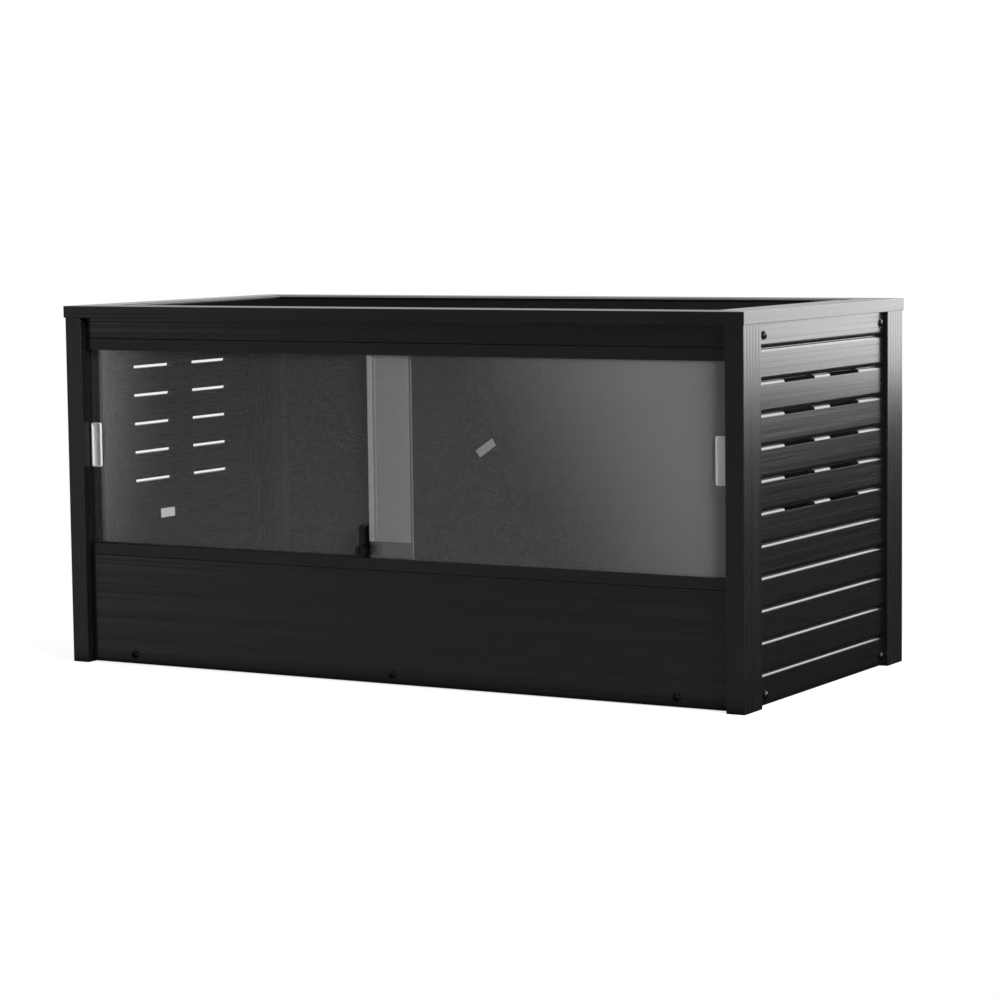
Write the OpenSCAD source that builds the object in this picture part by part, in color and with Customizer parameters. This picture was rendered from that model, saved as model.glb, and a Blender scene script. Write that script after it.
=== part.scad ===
// Reptile terrarium: planked sides, two sliding glass doors and a lift-off screen top.
// Millimetres, +Z up, front towards -Y, origin on the floor under the middle of the box.

/* [Overall] */
// Width over the corner posts
width = 1276; // [1000:1:1500]
// Depth over the corner posts
depth = 611; // [480:1:760]
// Planks in each side wall
slat_count = 12; // [11:1:12]
// Height of one plank, seam to seam
slat_pitch = 50; // [44:0.5:60]

/* [Corner posts] */
// Front face of a post
post_face = 31.5; // [28:0.5:45]
// Side face of a post
post_side = 62.5; // [50:0.5:80]
// Wall of the post extrusion
post_wall = 2.4; // [1.6:0.1:3.5]
// Radius of the post's long edges
post_edge_r = 1.2; // [0.5:0.1:2]
// Flutes down the side face
flute_count = 5; // [2:1:6]
// Depth of a flute
flute_depth = 0.2; // [0.1:0.1:1]
// Mouth of a flute
flute_w = 4; // [2:0.2:5]
// Reach of the flange that the planks are screwed to
wing_reach = 40; // [30:1:60]
// Thickness of that flange
wing_t = 3; // [2:0.5:5]

/* [Side planks] */
// Thickness of a plank
slat_t = 12; // [10:0.5:16]
// Set-back of the planks behind the post's side face
slat_recess = 8; // [5:0.5:12]
// Height of the rounded shoulder along a plank's top edge
shoulder_h = 4.5; // [3:0.5:7]
// Depth of that shoulder
shoulder_d = 2.6; // [1.5:0.1:3]
// Shadow gap under a plank's outer lip
lip_gap = 1.5; // [0.8:0.1:3]
// Height over which a plank's face rolls in towards that gap
nose_h = 8; // [4:0.5:12]
// Depth of that roll
nose_d = 1.8; // [0.8:0.1:2.5]
// Thickness of the tongue
tongue_t = 4; // [3:0.5:5]
// Height of the tongue
tongue_h = 6; // [4:0.5:9]
// Inner lip beside the tongue
inner_lip = 3; // [2:0.5:4]
// Clearance of the tongue in its groove
tongue_fit = 0.3; // [0.1:0.1:0.6]
// Space left above the tongue in its groove
tongue_play = 0.5; // [0.3:0.1:1]
// Gap between the walls and the floor
foot_gap = 2; // [1:0.5:6]

/* [Air vents] */
// Vented seams in each side wall
vent_rows = 5; // [1:1:7]
// First vented seam, counted from the top
vent_first = 2; // [1:1:3]
// Length of a vent
vent_length = 113; // [60:1:150]
// Height of a vent
vent_h = 5; // [3:0.5:8]
// From the middle of the wall to the near end of a vent
vent_inner = 29.5; // [15:0.5:40]

/* [Front boards] */
// Set-back of the boards behind the post's front face
board_recess = 13.5; // [8:0.5:20]
// Top edge of the lower board
lower_board_top = 186.5; // [120:0.5:260]
// Height of the header board
header_h = 45.5; // [30:0.5:80]
// Depth of the shadow line between header and track
shadow_line = 1.2; // [0.5:0.1:2]

/* [Door tracks] */
// Height of the upper track
top_track_h = 19.5; // [15:0.5:30]
// Height of the lower track
bottom_track_h = 19; // [14:0.5:30]
// Outer lips of a track
track_lip = 2; // [1.5:0.1:3]
// Rib between the two grooves
track_rib = 4; // [3:0.5:6]
// Width of a groove
groove_w = 5; // [4.6:0.1:7]
// Depth of the upper grooves
top_groove = 14; // [9:0.5:15]
// Depth of the lower grooves
bottom_groove = 8; // [5:0.5:10]

/* [Glass doors] */
// Thickness of the glass
glass_t = 4; // [3:0.5:4.5]
// Overlap of the two panes
door_overlap = 75; // [30:1:120]
// Middle of the overlap, from the middle of the box
door_meet = -2; // [-20:1:20]
// Gap between a shut pane and its post
door_side_gap = 1; // [0.5:0.5:3]
// Lift of a pane off the groove's floor
door_lift = 0.3; // [0.2:0.1:0.6]
// Pane's reach into the upper groove
door_top_reach = 9; // [6:0.5:12]
// Corner radius of a pane
glass_corner_r = 2; // [1:0.5:6]

/* [Finger pulls] */
// Width of a pull
pull_w = 19; // [14:0.5:26]
// Height of a pull
pull_h = 75; // [50:1:110]
// Thickness of a pull
pull_t = 4.2; // [3:0.1:4.4]
// Rim around its dished face
pull_rim = 2; // [1.5:0.1:3]
// Depth of the dish
pull_dish = 2.8; // [1:0.1:3]
// Corner radius of a pull
pull_r = 3; // [2.4:0.1:5]
// From the pane's outer edge to the pull
pull_edge = 1.5; // [0.5:0.5:6]
// Height of the left pull's middle
left_pull_z = 373; // [300:1:450]
// Height of the right pull's middle
right_pull_z = 384; // [300:1:450]

/* [Gap strip] */
// Thickness of the clear strip behind the front pane
strip_t = 0.6; // [0.4:0.1:0.8]
// Height of the strip's lower end above the sill
strip_end = 27.5; // [26.5:0.5:60]
// Thickness of the hook round the pane's edge
strip_hook_t = 0.9; // [0.6:0.1:1.2]
// Length of the hook's front leg
strip_leg = 8; // [5:0.5:12]
// Pitch of the two sealing fins
strip_fin_pitch = 7.5; // [4:0.5:12]
// Thickness of a fin
strip_fin_t = 0.8; // [0.5:0.1:1.2]

/* [Wedge lock] */
// Width of the lock's grip
lock_w = 11; // [9:0.5:15]
// Height of the lock's grip
lock_h = 52; // [40:1:70]
// Gap between the sill and the lock
lock_gap = 2.5; // [1.5:0.5:6]
// Depth of the grip in front of the rear pane
lock_depth = 16; // [12:0.5:18]
// Play between the lock and the rear pane
lock_play = 0.5; // [0.3:0.1:0.8]
// Thickness of the ear against the front pane's edge
ear_t = 8; // [6:0.5:10]
// Width of the ear
ear_w = 5; // [4:0.5:8]
// Step from the grip's top down to the ear's
ear_drop = 2; // [1:0.5:5]
// Length of the wedge between the panes
wedge_l = 11; // [8:0.5:20]
// Height of the wedge
wedge_h = 20; // [12:0.5:22]
// Diameter of the lock barrel
barrel_d = 19; // [16:0.5:22]
// Length of the barrel in front of the grip
barrel_l = 7; // [5:0.5:8]
// Diameter of the key plug
plug_d = 12; // [10:0.5:13]
// Depth of the key plug
plug_l = 18; // [12:0.5:20]
// Running clearance round the plug
plug_fit = 0.05; // [0.02:0.01:0.1]
// Height of the keyway
keyway_h = 7; // [5:0.5:8]
// Width of the keyway
keyway_w = 1.6; // [1:0.1:2.5]

/* [Floor and back] */
// Thickness of the floor panel
floor_t = 15; // [10:0.5:20]
// Underside of the floor panel
floor_z = 10; // [6:0.5:30]
// Thickness of the back panel
back_t = 12; // [8:0.5:16]
// Set-back of the back panel behind the posts
back_recess = 8; // [6:0.5:15]
// Side of the corner battens
batten = 20; // [15:0.5:28]

/* [Cap frame] */
// Width of the cap's top face, from the post face
cap_w = 62.5; // [55:0.5:80]
// Overhang of the cap beyond the posts
cap_overhang = 1.8; // [1.4:0.1:4]
// Thickness of the cap's skirt
cap_skirt_t = 1.6; // [1.2:0.1:3]
// Height of the skirt
cap_skirt_h = 20; // [14:0.5:35]
// Rise of the cap above the walls
cap_rise = 10; // [8:0.5:14]
// Thickness of the cap's top
cap_top_t = 2.5; // [1.5:0.1:4]
// Thickness of the cap's ribs
cap_rib_t = 2; // [1.5:0.1:3]
// Width of the ledge that the screen lies on
ledge_w = 14; // [10:0.5:18]
// Thickness of that ledge
ledge_t = 2; // [1.5:0.1:3]
// Drop of the ledge below the cap's top
ledge_drop = 12; // [10:0.5:18]
// Chamfer on the cap's long edges
cap_chamfer = 0.6; // [0.3:0.1:1]
// Arm of a corner key
key_arm = 60; // [40:1:90]

/* [Screen top] */
// Play between the screen and the cap
screen_gap = 1; // [0.5:0.1:3]
// Width of the screen's rails
screen_rail_w = 20; // [17:0.5:30]
// Lift of the screen off its ledge
screen_lift = 0.3; // [0.2:0.1:0.6]
// Set-down of the screen below the cap's top
screen_drop = 1; // [0.5:0.1:3]
// Depth of the slot that holds the mesh
mesh_slot = 6; // [4:0.5:9]
// Height of that slot
mesh_slot_h = 3; // [2.6:0.1:4]
// Wire of the mesh
wire = 0.8; // [0.6:0.1:1]
// Pitch of the mesh
mesh_pitch = 12.7; // [10:0.1:25]

/* [Screws] */
// Shank of the wall screws
screw_d = 5; // [4:0.1:6]
// Head of the wall screws
screw_head_d = 12; // [8:0.5:12.5]
// Height of the head above its washer
screw_head_h = 3; // [2:0.1:4]
// Washer under the head
washer_d = 15; // [12.5:0.5:16]
// Thickness of the washer
washer_t = 1.2; // [0.8:0.1:2]
// Hexagon socket across its corners
socket_d = 4.6; // [3:0.1:6]
// Play of a screw in its clearance hole
hole_play = 0.6; // [0.3:0.1:1]
// Play of a screw in its pilot hole
pilot_play = 0.2; // [0.1:0.1:0.3]
// Length of the wall screws under the head
screw_l = 35; // [25:1:50]
// From a front post back to the side screws beside it
side_screw_front = 26.5; // [10:0.5:28]
// From a back post forward to the side screws beside it
side_screw_back = 11.5; // [10:0.5:28]
// From the top of the wall down to the upper side screws
side_screw_down = 29; // [25:1:40]
// Spacing of the screws in the lower board
front_screw_step = 516; // [350:1:560]
// From the back panel's ends to its outer screws
back_screw_end = 30; // [20:1:60]
// Screws up each edge of the back panel
back_screw_count = 3; // [2:1:4]

/* [Hidden] */
$fn = 48;

wall_top = slat_count * slat_pitch;
height = wall_top + cap_rise;
half_w = width / 2;
half_d = depth / 2;
eps = 0.01;

// Across the side wall
slat_out = half_w - slat_recess;
slat_in = slat_out - slat_t;
post_in = half_w - post_face;
slat_len = depth - 2 * post_side;
groove_h = tongue_h + tongue_play;

// Across the front
board_y = -half_d + board_recess;
track_d = 2 * track_lip + 2 * groove_w + track_rib;
board_back = board_y + track_d;
front_glass_y = board_y + track_lip + (groove_w - glass_t) / 2;
rear_glass_y = front_glass_y + groove_w + track_rib;
sill = lower_board_top + bottom_track_h;
lintel = wall_top - header_h - top_track_h;
glass_z0 = sill - bottom_groove + door_lift;
glass_z1 = lintel + door_top_reach;
glass_edge = post_in - door_side_gap;
meet_left = door_meet - door_overlap / 2;
meet_right = door_meet + door_overlap / 2;

// Back and floor
back_out = half_d - back_recess;
back_in = back_out - back_t;
floor_top = floor_z + floor_t;
floor_mid = floor_z + floor_t / 2;
part_gap = 0.3;

// Cap and screen
ledge_z = height - ledge_drop;
rib_near = cap_w * 0.2;
rib_far = cap_w * 0.7;
screen_v0 = cap_w + screen_gap;
screen_v1 = screen_v0 + screen_rail_w;
screen_z0 = ledge_z + ledge_t + screen_lift;
screen_z1 = height - screen_drop;
slot_z = screen_z0 + (screen_z1 - screen_z0 - mesh_slot_h) / 2;
slot_v = screen_v1 - mesh_slot;
wire_gap = 0.05;
mesh_z = slot_z + part_gap;
spline_z = mesh_z + 2 * wire + wire_gap + part_gap / 3;
spline_w = mesh_slot * 2 / 3;

// Lock
pane_gap = groove_w + track_rib - glass_t;
lock_z = sill + lock_gap;
ear_x1 = meet_left - strip_hook_t - part_gap;
ear_x0 = ear_x1 - ear_w;
lock_back_y = rear_glass_y - lock_play;
lock_front_y = rear_glass_y - lock_depth;
barrel_x = ear_x0 + part_gap - lock_w / 2;
barrel_z = lock_z + barrel_d / 2;

// Fasteners
hole_d = screw_d + hole_play;
pilot_d = screw_d + pilot_play;
back_screw_l = back_t + batten * 2 / 3;
upper_screw_l = slat_t + wing_t + screw_d / 2;
side_screw_y = [-half_d + post_side + side_screw_front, half_d - post_side - side_screw_back];

// ---- shared shapes ----

// A flat outline in Y and Z, drawn out along X about the middle
module along_x(len) {
    rotate([90, 0, 90]) linear_extrude(height = len, center = true) children();
}

// A flat outline in X and Z, drawn out along Y about the middle
module along_y(len) {
    rotate([90, 0, 0]) linear_extrude(height = len, center = true) children();
}

module round_rect(x0, y0, x1, y1, r) {
    translate([x0 + r, y0]) square([x1 - x0 - 2 * r, y1 - y0]);
    translate([x0, y0 + r]) square([x1 - x0, y1 - y0 - 2 * r]);
    for (x = [x0 + r, x1 - r], y = [y0 + r, y1 - r]) translate([x, y]) circle(r);
}

// Keeps what lies inside a mitred bar: its ends slope at 45 degrees, inwards from the front edge
module mitre(len, v0, v1) {
    intersection() {
        children();
        linear_extrude(height = height + 1) polygon([
            [-len / 2 + v0, v0], [len / 2 - v0, v0], [len / 2 - v1, v1], [-len / 2 + v1, v1]
        ]);
    }
}

// Puts a bar made for the front edge on one of the four sides
module on_front() { translate([0, -half_d, 0]) children(); }
module on_back() { rotate(180) translate([0, -half_d, 0]) children(); }
module on_right() { rotate(90) translate([0, -half_w, 0]) children(); }
module on_left() { rotate(-90) translate([0, -half_w, 0]) children(); }

// Puts a piece made for the back right corner in one of the four corners
module in_corner(sx, sy) {
    mirror([sx < 0 ? 1 : 0, 0, 0]) mirror([0, sy < 0 ? 1 : 0, 0]) children();
}

// Button-head screw with a washer, pointing along -Z, its seat at z = 0
module wall_screw(len) {
    cylinder(d = washer_d, h = washer_t);
    translate([0, 0, -len]) cylinder(d = screw_d, h = len + washer_t);
    difference() {
        translate([0, 0, washer_t]) rotate_extrude() button_profile();
        translate([0, 0, washer_t + screw_head_h * 0.4]) cylinder(d = socket_d, h = screw_head_h, $fn = 6);
    }
}

// Half section of the domed head: a cap of a sphere over a short cylinder
module button_profile() {
    rim = screw_head_h * 0.3;
    dome = screw_head_h - rim;
    dome_r = (pow(screw_head_d / 2, 2) + pow(dome, 2)) / (2 * dome);
    square([screw_head_d / 2, rim]);
    intersection() {
        translate([0, rim - eps]) square([screw_head_d / 2, dome + eps]);
        translate([0, screw_head_h - dome_r]) circle(dome_r, $fn = 128);
    }
}

// ---- corner posts ----

module post_outline() {
    x0 = post_in;
    y0 = -half_d;
    flute_r = (pow(flute_w / 2, 2) + pow(flute_depth, 2)) / (2 * flute_depth);
    flute_step = post_side / (flute_count + 1);
    difference() {
        round_rect(x0, y0, half_w, y0 + post_side, post_edge_r);
        translate([x0 + post_wall, y0 + post_wall])
            square([post_face - 2 * post_wall, post_side - 2 * post_wall]);
        for (k = [1:flute_count])
            translate([half_w + flute_r - flute_depth, y0 + k * flute_step]) circle(flute_r);
    }
    translate([x0 + post_wall / 2, y0 + post_side / 2 - post_wall / 2])
        square([post_face - post_wall - flute_depth - eps, post_wall]);
    translate([slat_in - wing_t, y0 + post_side - post_wall])
        square([wing_t, wing_reach + post_wall]);
}

module post(screw_in) {
    difference() {
        linear_extrude(height = wall_top) post_outline();
        for (z = [floor_mid, wall_top - side_screw_down])
            translate([slat_in - wing_t - 1, -half_d + post_side + screw_in, z])
                rotate([0, 90, 0]) cylinder(d = pilot_d, h = wing_t + 2);
    }
}

module post_front_right() { color("#1d1d1f") post(side_screw_front); }
module post_front_left() { color("#1d1d1f") mirror([1, 0, 0]) post(side_screw_front); }
module post_back_right() { color("#1d1d1f") mirror([0, 1, 0]) post(side_screw_back); }
module post_back_left() { color("#1d1d1f") mirror([1, 0, 0]) mirror([0, 1, 0]) post(side_screw_back); }

// ---- side walls ----

// Section of one plank, from the inner face outwards
module slat_section(z0, z1, grooved, tongued) {
    a = slat_in + inner_lip;
    b = a + tongue_t;
    groove = grooved ? [
        [a - tongue_fit, z0], [a - tongue_fit, z0 + groove_h],
        [b + tongue_fit, z0 + groove_h], [b + tongue_fit, z0 + lip_gap], [slat_out, z0 + lip_gap]
    ] : [[slat_out, z0]];
    top = tongued ? [
        [slat_out, z1], [b, z1], [b, z1 + tongue_h], [a, z1 + tongue_h], [a, z1]
    ] : [[slat_out, z1]];
    polygon(concat([[slat_in, z0]], groove, top, [[slat_in, z1]]));
}

// What the roll takes off the lower outer edge of a plank that starts at z0
module slat_nose(z0, gap) {
    rise = nose_h - gap;
    nose_r = (pow(rise, 2) + pow(nose_d, 2)) / (2 * nose_d);
    difference() {
        translate([slat_out - nose_d, z0 - 1]) square([nose_d + 1, nose_h + 1]);
        translate([slat_out - nose_r, z0 + nose_h]) circle(nose_r, $fn = 96);
    }
}

// What the rounded shoulder takes off the upper outer edge of a plank that ends at z1
module slat_shoulder(z1) {
    shoulder_r = (pow(shoulder_h, 2) + pow(shoulder_d, 2)) / (2 * shoulder_d);
    difference() {
        translate([slat_out - shoulder_d - 1, z1 - shoulder_h]) square([shoulder_d + 2, shoulder_h + 1]);
        translate([slat_out - shoulder_r, z1 - shoulder_h]) circle(shoulder_r, $fn = 96);
    }
}

module slat(k) {
    first = k == 1;
    last = k == slat_count;
    z0 = first ? foot_gap : (k - 1) * slat_pitch;
    z1 = k * slat_pitch;
    seam_from_top = slat_count - k;
    vented = seam_from_top >= vent_first && seam_from_top < vent_first + vent_rows;
    difference() {
        along_y(slat_len) difference() {
            slat_section(z0, z1, !first, !last);
            slat_nose(z0, first ? 0 : lip_gap);
            if (!last) slat_shoulder(z1);
        }
        if (vented) for (side = [-1, 1])
            translate([slat_in - 1, side * (vent_inner + vent_length / 2) - vent_length / 2, z1 - vent_h])
                cube([slat_t + 2, vent_length, vent_h + tongue_h + 1]);
        if (first) slat_screw_holes(floor_mid);
        if (last) slat_screw_holes(wall_top - side_screw_down);
    }
}

module slat_screw_holes(z) {
    for (y = side_screw_y)
        translate([slat_in - 1, y, z])
            rotate([0, 90, 0]) cylinder(d = hole_d, h = slat_t + 2);
}

module right_slat(k) { color("#202022") slat(k); }
module left_slat(k) { color("#202022") mirror([1, 0, 0]) slat(k); }

// ---- floor, back and battens ----

module floor_panel() {
    edge = slat_in - part_gap;
    color("#19191a") difference() {
        translate([-edge, board_back, floor_z]) cube([2 * edge, back_in - board_back, floor_t]);
        for (sx = [-1, 1], sy = [-1, 1]) in_corner(sx, sy) {
            translate([post_in - part_gap, half_d - post_side - part_gap, floor_z - 1])
                cube([post_face, post_side, floor_t + 2]);
            translate([slat_in - wing_t - part_gap, half_d - post_side - wing_reach - part_gap, 0])
                cube([2 * wing_t, wing_reach + post_side, floor_top + 1]);
        }
        for (sx = [-1, 1], y = side_screw_y)
            translate([sx * (slat_out - screw_l), y, floor_mid])
                rotate([0, sx * 90, 0]) cylinder(d = pilot_d, h = screw_l);
        for (k = [-1, 0, 1])
            translate([k * front_screw_step, board_y + screw_l, floor_mid])
                rotate([90, 0, 0]) cylinder(d = pilot_d, h = screw_l);
    }
}

function back_screw_z(k) = floor_top + back_screw_end
    + k * (wall_top - floor_top - 2 * back_screw_end) / (back_screw_count - 1);

module back_panel() {
    color("#19191a") difference() {
        translate([-post_in, back_in, foot_gap]) cube([2 * post_in, back_t, wall_top - foot_gap]);
        for (side = [-1, 1], k = [0:back_screw_count - 1])
            translate([side * (post_in - batten / 2), back_in - 1, back_screw_z(k)])
                rotate([-90, 0, 0]) cylinder(d = hole_d, h = back_t + 2);
    }
}

module back_battens() {
    color("#262627") for (side = [0, 1]) mirror([side, 0, 0]) difference() {
        translate([post_in - batten, back_in - batten, floor_top])
            cube([batten, batten, wall_top - floor_top]);
        for (k = [0:back_screw_count - 1])
            translate([post_in - batten / 2, back_out - back_screw_l, back_screw_z(k)])
                rotate([-90, 0, 0]) cylinder(d = pilot_d, h = back_screw_l);
    }
}

module front_battens() {
    color("#262627") for (side = [0, 1]) mirror([side, 0, 0]) {
        translate([post_in - batten, board_back, floor_top])
            cube([batten, batten, lower_board_top - floor_top]);
        translate([post_in - batten, board_back, wall_top - header_h])
            cube([batten, batten, header_h]);
    }
}

// ---- front ----

module lower_front_board() {
    z1 = lower_board_top;
    color("#202022") difference() {
        along_x(2 * post_in) polygon([
            [board_y, foot_gap], [board_back, foot_gap], [board_back, z1],
            [board_y + shadow_line, z1], [board_y, z1 - shadow_line]
        ]);
        for (k = [-1, 0, 1])
            translate([k * front_screw_step, board_back + 1, floor_mid])
                rotate([90, 0, 0]) cylinder(d = hole_d, h = track_d + 2);
    }
}

module header_board() {
    z0 = wall_top - header_h;
    color("#202022") along_x(2 * post_in) polygon([
        [board_y, z0 + shadow_line], [board_y + shadow_line, z0], [board_back, z0],
        [board_back, wall_top], [board_y, wall_top]
    ]);
}

// Two-groove section: lip, groove, rib, groove, lip; the grooves open upwards
module track_section(h, groove) {
    difference() {
        square([track_d, h]);
        for (k = [0, 1])
            translate([track_lip + k * (groove_w + track_rib), h - groove]) square([groove_w, groove + 1]);
    }
}

module bottom_track() {
    color("#1b1b1c") along_x(2 * post_in)
        translate([board_y, lower_board_top]) track_section(bottom_track_h, bottom_groove);
}

module top_track() {
    color("#1b1b1c") along_x(2 * post_in)
        translate([board_y, lintel + top_track_h]) mirror([0, 1]) track_section(top_track_h, top_groove);
}

// ---- doors ----

module pane(x0, x1, y) {
    translate([0, y + glass_t, 0]) rotate([90, 0, 0]) linear_extrude(height = glass_t)
        round_rect(x0, glass_z0, x1, glass_z1, glass_corner_r);
}

module left_glass_pane() { color("#9fb3ad", 0.35) pane(-glass_edge, meet_right, rear_glass_y); }
module right_glass_pane() { color("#9fb3ad", 0.35) pane(meet_left, glass_edge, front_glass_y); }

// Dished pull stuck on a pane's front face, its outer side at x = 0
module pull(y, z) {
    translate([0, y, z - pull_h / 2]) rotate([90, 0, 0]) difference() {
        linear_extrude(height = pull_t) round_rect(0, 0, pull_w, pull_h, pull_r);
        translate([0, 0, pull_t - pull_dish]) linear_extrude(height = pull_dish + 1)
            round_rect(pull_rim, pull_rim, pull_w - pull_rim, pull_h - pull_rim, pull_r - pull_rim / 2);
    }
}

module left_finger_pull() {
    color("#c9cacb") translate([-glass_edge + pull_edge, 0, 0]) pull(rear_glass_y, left_pull_z);
}

module right_finger_pull() {
    color("#c9cacb") mirror([1, 0, 0])
        translate([-glass_edge + pull_edge, 0, 0]) pull(front_glass_y, right_pull_z);
}

// Clear extrusion hooked on the front pane's edge: web, hook, front leg and two fins
module gap_strip_section() {
    x0 = meet_left;
    y0 = front_glass_y;
    y1 = front_glass_y + glass_t;
    translate([x0 - strip_hook_t, y1]) square([door_overlap + strip_hook_t, strip_t]);
    translate([x0 - strip_hook_t, y0 - strip_hook_t])
        square([strip_hook_t, glass_t + strip_hook_t + eps]);
    translate([x0 - strip_hook_t, y0 - strip_hook_t]) square([strip_hook_t + strip_leg, strip_hook_t]);
    for (k = [0, 1])
        translate([x0 + strip_hook_t + k * strip_fin_pitch, y1])
            square([strip_fin_t, pane_gap - part_gap]);
}

module gap_strip() {
    z0 = sill + strip_end;
    color("#e8eeec", 0.5) translate([0, 0, z0])
        linear_extrude(height = lintel - part_gap - z0) gap_strip_section();
}

// ---- wedge lock ----

module lock_body() {
    grip_x0 = barrel_x - lock_w / 2;
    wedge_y = front_glass_y + glass_t + part_gap;
    color("#121213") difference() {
        union() {
            round_column(grip_x0, grip_x0 + lock_w, lock_front_y, lock_back_y, lock_z, lock_h);
            round_column(ear_x0 - ear_drop, ear_x1, lock_back_y - ear_t, lock_back_y, lock_z,
                lock_h - ear_drop);
            translate([ear_x1 - 1, wedge_y, lock_z]) cube([wedge_l + 1, lock_back_y - wedge_y, wedge_h]);
            translate([barrel_x, lock_back_y, barrel_z])
                rotate([90, 0, 0]) cylinder(d = barrel_d, h = lock_back_y - lock_front_y + barrel_l);
        }
        translate([barrel_x, lock_front_y - barrel_l + plug_l, barrel_z])
            rotate([90, 0, 0]) cylinder(d = plug_d + 2 * plug_fit, h = plug_l + 1);
    }
}

// Upright bar with a half-round top
module round_column(x0, x1, y0, y1, z0, h) {
    r = (x1 - x0) / 2;
    translate([0, y1, 0]) rotate([90, 0, 0]) linear_extrude(height = y1 - y0) {
        translate([x0, z0]) square([x1 - x0, h - r]);
        translate([x0 + r, z0 + h - r]) circle(r);
    }
}

module lock_plug() {
    depth_in = plug_l - part_gap;
    color("#8d8f91") translate([barrel_x, lock_front_y - barrel_l + depth_in, barrel_z])
        rotate([90, 0, 0]) difference() {
            cylinder(d = plug_d, h = depth_in);
            translate([-keyway_w / 2, -keyway_h / 2, depth_in / 2]) cube([keyway_w, keyway_h, depth_in]);
        }
}

// ---- cap frame ----

// Section from the post face inwards: skirt, top, two bearing ribs, inner wall and ledge
module cap_section() {
    difference() {
        union() {
            translate([-cap_overhang, height - cap_skirt_h]) square([cap_skirt_t, cap_skirt_h]);
            translate([-cap_overhang, height - cap_top_t]) square([cap_w + cap_overhang, cap_top_t]);
            for (v = [rib_near, rib_far])
                translate([v, wall_top]) square([cap_rib_t, cap_rise - cap_top_t + eps]);
            translate([cap_w - cap_rib_t, ledge_z]) square([cap_rib_t, ledge_drop]);
            translate([cap_w - cap_rib_t, ledge_z]) square([ledge_w + cap_rib_t, ledge_t]);
        }
        polygon([
            [-cap_overhang - eps, height - cap_chamfer], [-cap_overhang + cap_chamfer, height + eps],
            [-cap_overhang - eps, height + eps]
        ]);
        polygon([
            [cap_w - cap_chamfer, height + eps], [cap_w + eps, height - cap_chamfer],
            [cap_w + eps, height + eps]
        ]);
    }
}

module cap_bar(len) {
    mitre(len, -cap_overhang, cap_w + ledge_w) along_x(len + 2 * cap_overhang) cap_section();
}

module cap_front() { color("#1d1d1f") on_front() cap_bar(width); }
module cap_back() { color("#1d1d1f") on_back() cap_bar(width); }
module cap_left() { color("#1d1d1f") on_left() cap_bar(depth); }
module cap_right() { color("#1d1d1f") on_right() cap_bar(depth); }

// L-shaped keys lying between the cap's ribs at each mitre
module cap_corner_keys() {
    v0 = rib_near + cap_rib_t + part_gap;
    v1 = rib_far - part_gap;
    color("#3a3a3c") for (sx = [-1, 1], sy = [-1, 1]) in_corner(sx, sy)
        translate([0, 0, wall_top]) linear_extrude(height = cap_rise - cap_top_t - part_gap) {
            translate([half_w - v1, half_d - v0 - key_arm]) square([v1 - v0, key_arm]);
            translate([half_w - v0 - key_arm, half_d - v1]) square([key_arm, v1 - v0]);
        }
}

// ---- screen top ----

module screen_section() {
    difference() {
        translate([screen_v0, screen_z0]) square([screen_rail_w, screen_z1 - screen_z0]);
        translate([slot_v, slot_z]) square([mesh_slot + 1, mesh_slot_h]);
        polygon([
            [screen_v1 - cap_chamfer, screen_z1 + eps], [screen_v1 + eps, screen_z1 - cap_chamfer],
            [screen_v1 + eps, screen_z1 + eps]
        ]);
    }
}

module screen_bar(len) {
    mitre(len, screen_v0, screen_v1) along_x(len) screen_section();
}

module screen_rail_front() { color("#1d1d1f") on_front() screen_bar(width); }
module screen_rail_back() { color("#1d1d1f") on_back() screen_bar(width); }
module screen_rail_left() { color("#1d1d1f") on_left() screen_bar(depth); }
module screen_rail_right() { color("#1d1d1f") on_right() screen_bar(depth); }

// Welded mesh: one layer of wires along X, the next along Y
module screen_mesh() {
    x1 = half_w - slot_v - part_gap;
    y1 = half_d - slot_v - part_gap;
    nx = floor(x1 / mesh_pitch - 0.5);
    ny = floor(y1 / mesh_pitch - 0.5);
    color("#161617") {
        for (k = [-ny:ny])
            translate([-x1, k * mesh_pitch - wire / 2, mesh_z]) cube([2 * x1, wire, wire]);
        for (k = [-nx:nx])
            translate([k * mesh_pitch - wire / 2, -y1, mesh_z + wire + wire_gap])
                cube([wire, 2 * y1, wire]);
    }
}

// Rubber spline pressed over the mesh, all round the slot
module screen_spline() {
    x1 = half_w - slot_v - part_gap;
    y1 = half_d - slot_v - part_gap;
    color("#101011") translate([0, 0, spline_z])
        linear_extrude(height = slot_z + mesh_slot_h - spline_z) difference() {
            square([2 * x1, 2 * y1], center = true);
            square([2 * (x1 - spline_w), 2 * (y1 - spline_w)], center = true);
        }
}

// ---- screws ----

module side_screws() {
    color("#0f0f10") for (sx = [-1, 1], y = side_screw_y)
        for (z = [floor_mid, wall_top - side_screw_down])
            translate([sx * slat_out, y, z]) rotate([0, sx * 90, 0])
                wall_screw(z == floor_mid ? screw_l : upper_screw_l);
}

module front_screws() {
    color("#0f0f10") for (k = [-1, 0, 1])
        translate([k * front_screw_step, board_y, floor_mid]) rotate([90, 0, 0]) wall_screw(screw_l);
}

module back_screws() {
    color("#0f0f10") for (side = [-1, 1], k = [0:back_screw_count - 1])
        translate([side * (post_in - batten / 2), back_out, back_screw_z(k)])
            rotate([-90, 0, 0]) wall_screw(back_screw_l);
}

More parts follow.
